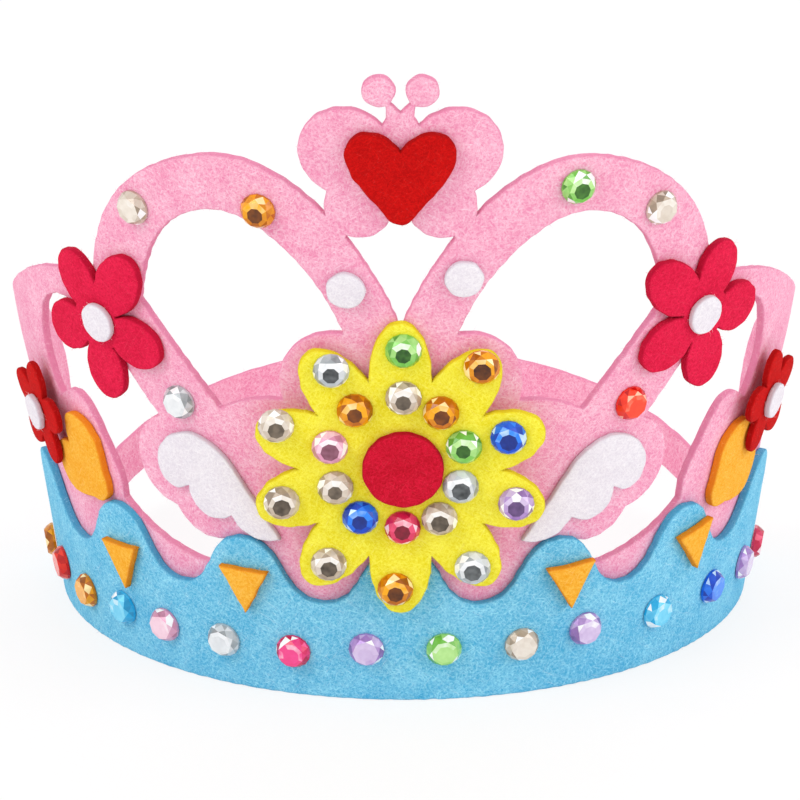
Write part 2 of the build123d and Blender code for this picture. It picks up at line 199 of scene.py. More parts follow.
def inside(points: Points, loops: list[Points]) -> NDArray[np.bool_]:
    """Tests flat points against loops by counting how often a line to the right crosses them.

    Args:
        points: Flat points.
        loops: Closed loops of flat points.

    Returns:
        True where the count is odd.
    """
    near = np.concatenate(loops).astype(np.float32)
    far = np.concatenate([np.roll(loop, -1, axis=0) for loop in loops]).astype(np.float32)
    x, y = points.astype(np.float32).T[:, :, None]
    spans = (near[:, 1] > y) != (far[:, 1] > y)
    rise = far[:, 1] - near[:, 1]
    crossing = near[:, 0] + (y - near[:, 1]) * (far[:, 0] - near[:, 0]) / np.where(rise == 0, 1, rise)
    return (spans & (crossing > x)).sum(axis=1) % 2 == 1


# How a flat cut lies on the crown


class Lies(Enum):
    """How a felt piece lies: rolled, with its centre line so many degrees from the front, or flat."""

    FRONT = 0.0
    BACK = 180.0
    FLAT = None


@dataclass(frozen=True)
class ConeLay:
    """Felt rolled onto the crown's cone. A flat point is (across, up, lift off the base sheet's middle)."""

    middle: float = 0.0  # degrees from the front to the flat cut's centre line
    rim_radius: float = 76.8
    flare: float = 8.62

    @property
    def lean(self) -> float:
        """Angle between the cone's side and its axis, in radians."""
        return math.radians(self.flare)

    @property
    def reach(self) -> float:
        """Length along the side from the apex to the bottom edge."""
        return self.rim_radius / math.sin(self.lean)

    def flatten(self, points: Points) -> Points:
        """Unrolls points: the turn about the axis becomes a smaller turn about the apex.

        Args:
            points: Points on the crown.

        Returns:
            Flat points with their lift.
        """
        x, y, z = points.T
        out = np.hypot(x, y) - self.rim_radius
        turn = np.arctan2(x, -y) - math.radians(self.middle)
        turn = (turn + np.pi) % (2 * np.pi) - np.pi
        slant = self.reach + out * math.sin(self.lean) + z * math.cos(self.lean)
        lift = out * math.cos(self.lean) - z * math.sin(self.lean)
        fan = turn * math.sin(self.lean)
        return np.stack([slant * np.sin(fan), slant * np.cos(fan) - self.reach, lift], axis=-1)

    def lay(self, flat: Points) -> Points:
        """Rolls flat points up again, the other way round from flatten.

        Args:
            flat: Flat points with their lift.

        Returns:
            Points on the crown.
        """
        across, up, lift = flat.T
        slant = np.hypot(across, up + self.reach)
        turn = np.arctan2(across, up + self.reach) / math.sin(self.lean) + math.radians(self.middle)
        radius = slant * math.sin(self.lean) + lift * math.cos(self.lean)
        height = (slant - self.reach) * math.cos(self.lean) - lift * math.sin(self.lean)
        return np.stack([radius * np.sin(turn), -radius * np.cos(turn), height], axis=-1)


@dataclass(frozen=True)
class PlaneLay:
    """Felt or a stone that lies on a plane. The axes' rows are across, up and out."""

    origin: Points
    axes: Points

    @classmethod
    def through(cls, points: Points, triangles: Indices) -> "PlaneLay":
        """Finds the plane of a flat piece, facing away from the crown's axis.

        Its normal is the main axis of the sum of each triangle's own normal times itself, by area.

        Args:
            points: Points of the node that the piece belongs to.
            triangles: Triangles of the piece.

        Returns:
            The plane through the middle of the piece.
        """
        origin = points[np.unique(triangles)].mean(axis=0)
        a, b, c = points[triangles].transpose(1, 0, 2)
        normal = np.cross(b - a, c - a)
        size = np.maximum(np.linalg.norm(normal, axis=1), 1e-9)
        out = np.linalg.eigh((normal / size[:, None]).T @ normal)[1][:, 2]
        out = out * np.sign(out[:2] @ origin[:2])
        across = np.cross((0.0, 0.0, 1.0), out)
        across = across / np.linalg.norm(across)
        return cls(origin, np.stack([across, np.cross(out, across), out]))

    def flatten(self, points: Points) -> Points:
        """Gives points as lengths along the plane's axes."""
        return (points - self.origin) @ self.axes.T

    def lay(self, flat: Points) -> Points:
        """Puts lengths along the plane's axes back on the crown."""
        return self.origin + flat @ self.axes


# Finishes


@dataclass(frozen=True)
class FeltFinish:
    """Needle-punched polyester craft felt.

    Fine fibres lie in the sheet in all directions, matted by needles. The eye sees a matt, slightly
    hairy face with paler fibres over darker pits, partly darker fibres and partly painted shade,
    a faint bloom where light grazes it, and painted shade on the cut edge in a deeper colour.
    """

    name: str
    # pit: the darker colour, partly darker fibres and partly painted shade in the pits between them
    pit: str
    fibre: str
    # edge: painted shade, a darker copy of the felt's colour for its cut edge
    edge: str
    slot: str = ""  # slot of the record, where it isn't the finish's own name
    lint: str = "#FFFFFF"
    lint_share: float = 0.3
    lint_range: tuple[float, float] = (0.66, 0.76)  # height of its streaks over which lint comes out
    # share of the cut edge's painted shade
    edge_share: float = 0.75
    half: float = 0.92  # depth that is half pit, half fibre
    spread: float = 0.15  # from there to plain pit or fibre; less is more contrast
    fibre_width: float = 0.2  # drawn coarser than the real 0.03 mm, so that it shows
    fibre_length: float = 1.8
    fibre_turns: tuple[int, ...] = (12, 57, 101, 148)  # degrees
    lint_width: float = 0.16
    lint_length: float = 4.5
    lint_turns: tuple[int, ...] = (33, 122)
    clump: float = 0.6
    clump_share: float = 0.4
    cloud: float = 7.0
    cloud_share: float = 0.2
    bump_depth: float = 0.2

    @staticmethod
    def streaks(tree: Any, cut: Any, turns: tuple[int, ...], length: float, width: float) -> Any:
        """Adds streaks in several directions, the strongest on top.

        Args:
            tree: Node tree that gets them.
            cut: Socket of the place in the flat cut.
            turns: Direction of each layer, in degrees.
            length: Length of a streak.
            width: Width of a streak.

        Returns:
            Node of their height.
        """
        stretch = (1 / (length * MM), 1 / (width * MM), 1 / (width * MM))
        top: Any = 0.0
        for turn in turns:
            spun = {"Vector": cut, "Angle": math.radians(turn)}
            turned = add_node(tree, "VectorRotate", spun, rotation_type="Z_AXIS")
            drawn = add_node(tree, "Mapping", {"Vector": turned, "Scale": stretch})
            noise = {"Vector": drawn, "Scale": 1.0, "Detail": 1.0, "Distortion": 1.2}
            streak = add_node(tree, "TexNoise", noise)
            top = add_node(tree, "Math", {0: top, 1: streak}, operation="MAXIMUM")
        return top

    def material(self) -> Any:
        """Builds the felt: fibres over soft clumps and clouds, lint on top, painted shade on the cut edge.

        Returns:
            The material.
        """
        material, tree = new_material(f"craft_{self.name}")
        cut = add_node(tree, "Attribute", attribute_name=FLAT).outputs["Vector"]
        mat = self.streaks(tree, cut, self.fibre_turns, self.fibre_length, self.fibre_width)
        lint = self.streaks(tree, cut, self.lint_turns, self.lint_length, self.lint_width)
        clumps = add_node(tree, "TexNoise", {"Vector": cut, "Scale": 1 / (self.clump * MM), "Detail": 3.0})
        clouds = add_node(tree, "TexNoise", {"Vector": cut, "Scale": 1 / (self.cloud * MM), "Detail": 2.0})
        soft = add_node(tree, "Math", {0: clouds, 1: self.cloud_share, 2: mat}, operation="MULTIPLY_ADD")
        # depth is the bump's height and picks the colour: low pits get the pit colour, partly painted shade
        depth = add_node(tree, "Math", {0: clumps, 1: self.clump_share, 2: soft}, operation="MULTIPLY_ADD")
        fibre = {"Value": depth, "From Min": self.half - self.spread, "From Max": self.half + self.spread}
        low, high = self.lint_range
        strand = {"Value": lint, "From Min": low, "From Max": high, "To Max": self.lint_share}
        # painted shade on the cut edge, in the edge colour
        wall = add_node(tree, "Attribute", attribute_name=EDGE).outputs["Fac"]
        colour: Any = linear(self.pit)
        for share, tint in (
            (add_node(tree, "MapRange", fibre), self.fibre),
            (add_node(tree, "MapRange", strand), self.lint),
            (add_node(tree, "Math", {0: wall, 1: self.edge_share}, operation="MULTIPLY"), self.edge),
        ):
            mixed = {0: share, 6: colour, 7: linear(tint)}
            colour = add_node(tree, "Mix", mixed, data_type="RGBA").outputs[2]
        relief = {"Height": depth, "Strength": 0.7, "Distance": self.bump_depth * MM}
        surface = {
            "Base Color": colour,
            "Roughness": 0.95,
            "IOR": 1.5,
            "Specular IOR Level": 0.15,
            "Sheen Weight": 0.12,
            "Sheen Roughness": 0.6,
            "Sheen Tint": linear(self.fibre),
            "Normal": add_node(tree, "Bump", relief),
        }
        add_node(tree, "OutputMaterial", {"Surface": add_node(tree, "BsdfPrincipled", surface)})
        return material


@dataclass(frozen=True)
class FibreFinish:
    """Loose polyester fibres that the cutter and handling pull out of the felt.

    A single fibre is dyed through, smooth and a little glossy, so it catches more light than the mat.
    """

    felt: FeltFinish

    def material(self) -> Any:
        """Builds the fibre, in the pale colour of its felt.

        Returns:
            The material.
        """
        material, tree = new_material(f"loose_fibre_{self.felt.name}")
        colour = linear(self.felt.fibre)
        surface = {"Base Color": colour, "Roughness": 0.6, "IOR": 1.57, "Sheen Weight": 0.1}
        add_node(tree, "OutputMaterial", {"Surface": add_node(tree, "BsdfPrincipled", surface)})
        return material


@dataclass(frozen=True)
class StoneFinish:
    """Moulded acrylic stone with a mirror foil on its back.

    Light that the foil throws back through the dyed acrylic is painted into the base colour, so
    neighbouring facets are painted pale or deep, and the table has a painted dark spot for the shade
    that the foil would mirror in front of it.
    """

    slot: str
    # colours of the painted reflection: deep is painted shade, glint a painted highlight
    deep: str
    body: str
    bright: str
    glint: str = "#FFFFFF"
    body_at: float = 0.42  # painted reflection tone that gives the plain body colour
    bright_at: float = 0.8
    # noise that shifts the painted reflection tone
    reflection_noise_size: float = 1.5
    reflection_noise_share: float = 0.22

    def material(self) -> Any:
        """Builds the stone: a facet's painted reflection picks from deep through body and bright to glint.

        Returns:
            The material.
        """
        material, tree = new_material(f"foiled_acrylic_{self.slot}")
        tone = add_node(tree, "Attribute", attribute_name=PAINTED_REFLECTION).outputs["Fac"]
        place = add_node(tree, "TexCoord").outputs["Object"]
        reflection_noise_inputs = {"Vector": place, "Scale": 1 / (self.reflection_noise_size * MM), "Detail": 1.0}
        reflection_noise = add_node(tree, "TexNoise", reflection_noise_inputs)
        light = add_node(tree, "Math", {0: reflection_noise, 1: self.reflection_noise_share, 2: tone}, operation="MULTIPLY_ADD")
        evened = {0: light, 1: self.reflection_noise_share / 2}
        level = add_node(tree, "Math", evened, operation="SUBTRACT", use_clamp=True)
        # base colour from the painted reflection tone
        ramp = add_node(tree, "ValToRGB", {"Fac": level})
        elements = ramp.color_ramp.elements
        elements[0].color = linear(self.deep)
        elements[1].color = linear(self.glint)
        elements.new(self.body_at).color = linear(self.body)
        elements.new(self.bright_at).color = linear(self.bright)
        surface = {
            "Base Color": ramp,
            "Metallic": 0.1,
            "Roughness": 0.25,
            "IOR": 1.49,
            "Specular IOR Level": 0.2,
            "Coat Weight": 0.5,
            "Coat Roughness": 0.03,
            "Coat IOR": 1.49,
        }
        add_node(tree, "OutputMaterial", {"Surface": add_node(tree, "BsdfPrincipled", surface)})
        return material


FELTS = {
    felt.name: felt
    for felt in (
        FeltFinish("felt_pink", "#EE86AE", "#FFCFE0", "#E27FA4"),
        FeltFinish("felt_blue", "#48ACD8", "#9CE0F6", "#3E9CC6", spread=0.13),
        FeltFinish("felt_yellow", "#ECDA12", "#FFF858", "#DCC40A", lint="#FFFBB0"),
        FeltFinish("felt_crimson", "#CC0C36", "#F02450", "#B40A30", lint="#FF7F98", lint_share=0.12),
        FeltFinish(
            "felt_ruby", "#B4061E", "#DE183A", "#A0061C", "felt_crimson", lint="#FF6F80", lint_share=0.12
        ),
        FeltFinish("felt_red", "#B00203", "#D80E0C", "#9C0404", lint="#FF5A4C", lint_share=0.15),
        FeltFinish("felt_orange", "#F4A016", "#FFC650", "#F07F10", lint="#FFE0A0"),
        FeltFinish("felt_white", "#E2DAE3", "#F8F3F7", "#D2C8D2"),
    )
}
STONES = {
    slot: StoneFinish(slot, *colours)
    for slot, *colours in (
        ("gem_amber", "#381400", "#C46A00", "#FFB000", "#FFE6A8"),
        ("gem_red", "#6A0206", "#DC120C", "#FF4A28", "#FFC0A0"),
        ("gem_aqua", "#066C9C", "#22AEE2", "#7EDCF8"),
        ("gem_blue", "#03165A", "#0A48CC", "#2E8CFF", "#C8E4FF"),
        ("gem_pink", "#744052", "#E098B6", "#FBD6E4"),
        ("gem_clear", "#36393B", "#B4BABD", "#EEF0F2"),
        ("gem_hot_pink", "#8A0830", "#DE1A50", "#FA4A94"),
        ("gem_lilac", "#4E3864", "#A67CC2", "#DCC8EA"),
        ("gem_green", "#16420C", "#72BE48", "#BEEC96"),
        ("gem_champagne", "#3E342A", "#B8A48E", "#EEE4D8"),
        ("gem_rose", "#5E061E", "#CC1C48", "#F2547C", "#FFD8E2"),
    )
}


# Felt


@dataclass
class Cut:
    """A piece's flat cut, read from its CAD node: loops with the felt on their left, and two lifts."""

    loops: list[Points]
    back: float
    front: float
    speck: float = 1.0  # a loop no wider than this is left out
    flush: float = 0.02  # triangles this near the highest lift are the front face

    @classmethod
    def read(cls, node: str, lay: ConeLay | PlaneLay) -> "Cut":
        """Takes the border of the node's front face, the triangles that lie at its highest lift.

        Args:
            node: Name of the CAD node.
            lay: How the piece lies.

        Returns:
            The flat cut.
        """
        points, triangles = node_mesh(node)
        flat = lay.flatten(points)
        back, front = float(flat[:, 2].min()), float(flat[:, 2].max())
        face = triangles[(flat[triangles, 2] > front - cls.flush).all(axis=1)]
        edges = np.concatenate([face[:, [0, 1]], face[:, [1, 2]], face[:, [2, 0]]])
        size = len(points)
        border = edges[~np.isin(edges @ (size, 1), edges[:, ::-1] @ (size, 1))]
        loops = [flat[loop, :2] for loop in closed_loops(border)]
        return cls([loop for loop in loops if np.ptp(loop, axis=0).max() > cls.speck], back, front)

    @property
    def area(self) -> float:
        """Flat area in square millimetres, from the sum of cross products round the loops."""
        return float(sum(np.cross(loop, np.roll(loop, -1, axis=0)).sum() / 2 for loop in self.loops))

    @property
    def size(self) -> tuple[float, float]:
        """Width and length of the flat cut in millimetres."""
        return tuple(np.ptp(np.concatenate(self.loops), axis=0).tolist())


@dataclass
class FeltPress:
    """Turns flat cuts into felt with softened, slightly uneven cut edges."""

    edge_step: float = 0.8
    face_step: float = 3.2
    row_step: float = 0.866  # of face_step, between rows of the grid
    jitter: float = 0.2  # of face_step
    edge_clear: float = 0.45  # of face_step that the grid keeps off the edge
    edge_round: float = 0.45
    wall_from: float = 0.6  # of edge_round below a face, where all is cut edge
    corner_turn: float = 28.0  # degrees
    corner_clear: float = 0.6  # of edge_step that other points keep off a corner
    least_gap: float = 0.04  # nearer points of an outline are one
    least_points: int = 12
    softenings: int = 3
    edge_wander: float = 0.1  # how far the cut strays from its line
    waves: int = 6
    wave_lengths: tuple[float, float] = (14.0, 3.0)
    rng: np.random.Generator = field(default_factory=lambda: np.random.default_rng(11))

    def respaced(self, loop: Points) -> Points:
        """Spaces a loop's points evenly, keeps its corners, and lets it wander as a sum of sines.

        Args:
            loop: Closed loop of flat points.

        Returns:
            The new loop.
        """
        gap = np.hypot(*(loop - np.roll(loop, 1, axis=0)).T)
        loop = loop[gap > self.least_gap]
        side = np.roll(loop, -1, axis=0) - loop
        along = np.concatenate([[0.0], np.cumsum(np.hypot(*side.T))])
        heading = np.arctan2(side[:, 1], side[:, 0])
        turn = (heading - np.roll(heading, 1) + np.pi) % (2 * np.pi) - np.pi
        corners = along[:-1][np.abs(turn) > math.radians(self.corner_turn)]
        count = max(self.least_points, round(along[-1] / self.edge_step))
        even = np.arange(count) * along[-1] / count
        reach = np.abs((even[:, None] - corners + along[-1] / 2) % along[-1] - along[-1] / 2)
        free = reach.min(axis=1, initial=along[-1]) > self.corner_clear * along[-1] / count
        spots = np.concatenate([even[free], corners])
        fixed = np.arange(len(spots)) >= free.sum()
        order = np.argsort(spots)
        spots, fixed = spots[order], fixed[order]
        closed = np.vstack([loop, loop[:1]])
        path = np.stack([np.interp(spots, along, closed[:, axis]) for axis in (0, 1)], axis=-1)
        for _ in range(self.softenings):
            softened = (np.roll(path, 1, axis=0) + 2 * path + np.roll(path, -1, axis=0)) / 4
            path = np.where(fixed[:, None], path, softened)
        fewest, most = (int(along[-1] / length) for length in self.wave_lengths)
        waves = self.rng.integers(max(1, fewest), max(3, most), size=self.waves)
        phases = self.rng.uniform(0, 2 * np.pi, size=self.waves)
        stray = np.sin(2 * np.pi * spots[:, None] / along[-1] * waves + phases).sum(axis=1)
        return path + self.inward(path) * (self.edge_wander * (stray / (self.waves / 2)))[:, None]

    @staticmethod
    def inward(loop: Points) -> Points:
        """Unit normals of a loop, to its left, square to the line between each point's neighbours."""
        line = np.roll(loop, -1, axis=0) - np.roll(loop, 1, axis=0)
        line = line / np.maximum(np.hypot(*line.T), 1e-9)[:, None]
        return np.stack([-line[:, 1], line[:, 0]], axis=-1)

    def fill(self, rings: list[Points]) -> tuple[Points, Indices]:
        """Fills the face inside its rings with a staggered grid, joined by Delaunay triangles.

        Args:
            rings: Closed loops of flat points, the felt on their left.

        Returns:
            Flat points, and triangles that turn left.
        """
        border = np.concatenate(rings)
        low, high = border.min(axis=0), border.max(axis=0)
        across, up = np.meshgrid(
            np.arange(low[0], high[0], self.face_step),
            np.arange(low[1], high[1], self.face_step * self.row_step),
        )
        across = across + (np.arange(len(across)) % 2)[:, None] * self.face_step / 2
        grid = np.stack([across.ravel(), up.ravel()], axis=-1)
        grid = grid + self.rng.uniform(-self.jitter, self.jitter, grid.shape) * self.face_step
        grid = grid[inside(grid, rings)]
        away = np.hypot(*(grid[:, None] - border[None]).transpose(2, 0, 1)).min(axis=1)
        grid = grid[away > self.edge_clear * self.face_step]
        number = np.arange(len(border))
        parts = np.split(number, np.cumsum([len(ring) for ring in rings])[:-1])
        edges = np.stack([number, np.concatenate([np.roll(part, -1) for part in parts])], axis=-1)
        spots = np.concatenate([border, grid])
        result = delaunay_2d_cdt([Vector(spot) for spot in spots], edges.tolist(), [], 0, 1e-6)
        points, triangles = np.array(result[0]), np.array(result[2])
        kept = triangles[inside(points[triangles].mean(axis=1), rings)]
        a, b, c = points[kept].transpose(1, 0, 2)
        left = np.cross(b - a, c - a) > 0
        return points, np.where(left[:, None], kept, kept[:, ::-1])

    def wall(self, cut: Cut, lift: Points) -> Points:
        """Gives how far points are on the cut edge: 0 on both faces, rising to 1 a little below them."""
        # the share of the cut edge's painted shade
        below = np.minimum(cut.front - lift, lift - cut.back)
        return np.clip(below / (self.wall_from * self.edge_round), 0, 1)

    def press(self, cut: Cut) -> tuple[Points, Indices, NDArray[np.bool_]]:
        """Carries a rounded edge profile round each loop and closes both faces.

        The profile is a quarter round from the front face, a straight wall and a quarter round to the
        back face, square to the loop.

        Args:
            cut: The flat cut.

        Returns:
            Flat points, triangles of the closed surface, and which of them are on the cut edge.
        """
        swing = np.radians([90.0, 60.0, 30.0, 0.0])
        depth = cut.front - cut.back
        soft = min(self.edge_round, depth / 3)
        inset = soft * np.concatenate([1 - np.cos(swing), 1 - np.cos(swing[::-1])])
        lift = np.concatenate(
            [cut.front - soft * (1 - np.sin(swing)), cut.back + soft * (1 - np.sin(swing[::-1]))]
        )
        flats, faces, rings, first = [], [], [], 0
        for loop in map(self.respaced, cut.loops):
            rows, count = len(inset), len(loop)
            swept = loop[None] + self.inward(loop)[None] * inset[:, None, None]
            swept = swept.astype(np.float32).astype(np.float64)  # as the filled face gives its points back
            lifted = np.broadcast_to(lift[:, None, None], (rows, count, 1))
            flats.append(np.concatenate([swept, lifted], axis=2).reshape(-1, 3))
            row, column = np.meshgrid(np.arange(rows - 1), np.arange(count), indexing="ij")
            corner = first + row * count + column
            beside = first + row * count + (column + 1) % count
            faces += [
                np.stack([corner, corner + count, beside + count], axis=-1).reshape(-1, 3),
                np.stack([corner, beside + count, beside], axis=-1).reshape(-1, 3),
            ]
            rings.append(swept[0])
            first += rows * count
        points, triangles = self.fill(rings)
        on_edge = sum(map(len, faces))
        flats += [np.column_stack([points, np.full(len(points), level)]) for level in (cut.front, cut.back)]
        faces += [triangles + first, triangles[:, ::-1] + first + len(points)]
        flat, places = np.unique(np.round(np.concatenate(flats), 4), axis=0, return_inverse=True)
        joined = places.reshape(-1)[np.concatenate(faces)]
        edge = np.arange(len(joined)) < on_edge
        whole = (joined != np.roll(joined, 1, axis=1)).all(axis=1)
        return flat, joined[whole], edge[whole]


@dataclass
class LooseFibres:
    """Hairs that stand out of the felt, as narrow bent ribbons."""

    on_edge: float = 0.8  # fibres for each square millimetre of cut edge
    on_face: float = 0.16
    length: tuple[float, float] = (0.5, 1.3)
    width: float = 0.06
    narrowing: float = 0.7  # share of the width, gone at the end
    stand_edge: float = 0.75  # how steeply a fibre leaves the felt, against lie
    stand_face: float = 0.3
    stand_range: tuple[float, float] = (0.5, 1.2)
    lie: float = 0.7
    bend: float = 0.45
    droop: float = 0.25
    off_floor: float = 0.02
    steps: int = 3
    rng: np.random.Generator = field(default_factory=lambda: np.random.default_rng(23))

    def grow(self, points: Points, triangles: Indices, edge: NDArray[np.bool_]) -> tuple[Points, Indices]:
        """Sets fibres at random on triangles: each leaves along a slant and bends as a parabola.

        Args:
            points: Points of the felt on the crown.
            triangles: Triangles of the felt.
            edge: Which triangles are on the cut edge.

        Returns:
            Ribbon points and four-sided faces.
        """
        a, b, c = points[triangles].transpose(1, 0, 2)
        normal = np.cross(b - a, c - a)
        area = np.linalg.norm(normal, axis=1) / 2
        chance = area * np.where(edge, self.on_edge, self.on_face)
        count = int(chance.sum())
        picked = self.rng.choice(len(triangles), size=count, p=chance / chance.sum())
        s, t = self.rng.uniform(0, 1, (2, count, 1))
        s, t = np.where(s + t > 1, 1 - s, s), np.where(s + t > 1, 1 - t, t)
        root = a[picked] + s * (b - a)[picked] + t * (c - a)[picked]
        out = normal[picked] / (2 * area[picked])[:, None]
        wild = self.rng.normal(size=(2, count, 3))
        lying = wild - (wild * out).sum(axis=2, keepdims=True) * out
        lying = lying / np.linalg.norm(lying, axis=2, keepdims=True)
        stand = np.where(edge[picked], self.stand_edge, self.stand_face)[:, None]
        stand = stand * self.rng.uniform(*self.stand_range, (count, 1))
        length = self.rng.uniform(*self.length, (count, 1))
        share = np.linspace(0, 1, self.steps + 1)[:, None, None]
        line = share * (stand * out + self.lie * lying[0]) + share**2 * self.bend * lying[1]
        line = root + length * line - length * share**2 * self.droop * out
        side = np.cross(lying[0], out)
        side = side / np.linalg.norm(side, axis=1, keepdims=True) * self.width / 2
        taper = 1 - self.narrowing * share
        ribbon = np.stack([line - side * taper, line + side * taper], axis=2)
        ribbon[..., 2] = np.maximum(ribbon[..., 2], self.off_floor)
        number = np.arange((self.steps + 1) * count * 2).reshape(self.steps + 1, count, 2)
        near, far = number[:-1], number[1:]
        faces = np.stack([near[..., 0], near[..., 1], far[..., 1], far[..., 0]], axis=-1).reshape(-1, 4)
        return ribbon.reshape(-1, 3), faces


@dataclass
class FeltWork:
    """All the felt of the crown.

    Its cuts are rows of node, finish, how it lies and what it lies on. A star stands for left and right.
    A small piece has no carrier.
    """

    press: FeltPress = field(default_factory=FeltPress)
    fibres: LooseFibres = field(default_factory=LooseFibres)
    heart_rise: float = 2.8  # lift of the top heart's shoulders over its solid's
    heart_point: float = 0.2  # share of its width that its point loses at the end
    heart_middle: float = 0.55  # of its height, from where its point narrows
    bow: float = 1.5  # how far the side arches stand out of the cone
    bow_turn: float = 80.0  # degrees from the front
    bow_spread: float = 24.0
    bow_from: float = 40.0
    bow_to: float = 70.0
    cuts: tuple[tuple[str, str, Lies, str], ...] = (
        ("base_sheet", "felt_pink", Lies.FRONT, "wavy_band"),
        ("wavy_band", "felt_blue", Lies.FRONT, "base_sheet"),
        ("back_strap", "felt_pink", Lies.BACK, ""),
        ("top_heart", "felt_red", Lies.FRONT, "base_sheet"),
        ("wing_*", "felt_white", Lies.FRONT, "base_sheet"),
        ("dot_*", "felt_white", Lies.FRONT, ""),
        ("blossom_*", "felt_crimson", Lies.FRONT, "base_sheet"),
        ("blossom_centre_*", "felt_white", Lies.FRONT, ""),
        ("side_heart_*", "felt_orange", Lies.FRONT, "base_sheet"),
        ("side_blossom_*", "felt_red", Lies.FLAT, "side_heart_*"),
        ("side_blossom_centre_*", "felt_white", Lies.FLAT, ""),
        ("triangle_outer_left", "felt_orange", Lies.FRONT, "wavy_band"),
        ("triangle_inner_*", "felt_orange", Lies.FRONT, "wavy_band"),
        ("triangle_outer_right", "felt_orange", Lies.FRONT, "wavy_band"),
        ("daisy", "felt_yellow", Lies.FLAT, "wavy_band"),
        ("daisy_centre", "felt_ruby", Lies.FLAT, "daisy"),
    )

    def rows(self) -> Iterator[tuple[str, str, Lies, str]]:
        """Gives the cuts one by one, each star written out as left, then right."""
        for node, finish, lies, carrier in self.cuts:
            for side in ("left", "right") if "*" in node else ("",):
                yield node.replace("*", side), finish, lies, carrier.replace("*", side)

    def pointed(self, cut: Cut) -> Cut:
        """Lifts a heart's shoulders and draws its point in.

        The lift goes with the square of the distance from the middle line and fades out at the top.
        The point narrows with the depth below the middle, most at the very end.

        Args:
            cut: The heart's flat cut.

        Returns:
            The cut with fuller shoulders and a slimmer point.
        """
        across, up = cut.loops[0][:, 0], cut.loops[0][:, 1]
        height = (up - up.min()) / np.ptp(up)
        rise = self.heart_rise * (across / np.abs(across).max()) ** 2 * (1 - height**8)
        depth = np.clip(1 - height / self.heart_middle, 0, 1)
        slim = 1 - self.heart_point * (0.3 * depth + 0.7 * depth**4)
        return Cut([np.stack([across * slim, up + rise], axis=-1)], cut.back, cut.front)

    def bowed(self, points: Points) -> Points:
        """Lets the side arches stand out: a smooth step over their height, a bell curve round the axis.

        Args:
            points: Points of a felt piece.

        Returns:
            The moved points.
        """
        turn = np.degrees(np.abs(np.arctan2(points[:, 0], -points[:, 1])))
        level = np.clip((points[:, 2] - self.bow_from) / (self.bow_to - self.bow_from), 0, 1)
        bell = np.exp(-(((turn - self.bow_turn) / self.bow_spread) ** 2))
        out = self.bow * level**2 * (3 - 2 * level) * bell
        grown = 1 + out / np.hypot(points[:, 0], points[:, 1])
        return points * np.stack([grown, grown, np.ones_like(grown)], axis=-1)

    def make_fibres(self, finish: str, grown: list[tuple[Points, Indices]]) -> bpy.types.Object:
        """Joins the loose fibres of one finish into a piece.

        Args:
            finish: Name of the felt's finish.
            grown: Ribbon points and faces of each felt piece.

        Returns:
            The piece.
        """
        starts = np.cumsum([0] + [len(points) for points, _ in grown])
        points = np.concatenate([points for points, _ in grown])
        faces = np.concatenate([faces + start for (_, faces), start in zip(grown, starts)])
        hair = new_object(f"loose_fibres_{finish}", points, faces, smooth=True)
        settle(hair, FibreFinish(FELTS[finish]).material(), FELTS[finish].slot or finish)
        log.info("%s: %d faces", hair.name, len(faces))
        return hair

    def make(self) -> None:
        """Builds every felt piece in place of its node, and the loose fibres of each colour."""
        materials = {finish: felt.material() for finish, felt in FELTS.items()}
        hairs: dict[str, list[tuple[Points, Indices]]] = {finish: [] for finish in FELTS}
        small: list[bpy.types.Object] = []
        sheets: list[tuple[bpy.types.Object, Cut, str]] = []
        for node, finish, lies, carrier in self.rows():
            lay = PlaneLay.through(*node_mesh(node)) if lies is Lies.FLAT else ConeLay(lies.value)
            cut = Cut.read(node, lay)
            if node == "top_heart":
                cut = self.pointed(cut)
            flat, triangles, edge = self.press.press(cut)
            points = self.bowed(lay.lay(flat))
            points[:, 2] = np.maximum(points[:, 2], 0.0)
            # EDGE marks where the cut edge's painted shade goes
            marks = {FLAT: flat * MM, EDGE: self.press.wall(cut, flat[:, 2])}
            piece = new_object(f"{node}_felt", points, triangles, smooth=True, attributes=marks)
            settle(piece, materials[finish], FELTS[finish].slot or finish, node)
            if carrier:
                sheets.append((piece, cut, f"{carrier}_felt"))
            else:
                small.append(piece)
            hairs[finish].append(self.fibres.grow(points, triangles, edge))
            log.info("%s: %d triangles, %.0f mm2 flat", piece.name, len(triangles), cut.area)
        small += [self.make_fibres(finish, grown) for finish, grown in hairs.items()]
        for piece, cut, carrier in sheets:
            width, length = cut.size
            cut.area * MM * MM


# Stones


class Mirrored(Enum):
    """Which reflection is painted into a table: what the foil behind it would mirror.

    Each gives the table's painted tone, its upper facets' painted highlight and the painted spot's tone
    range.
    """

    SHADE = (0.64, 0.26, (0.02, 0.14))
    LIGHT = (0.76, 0.06, (0.66, 0.8))


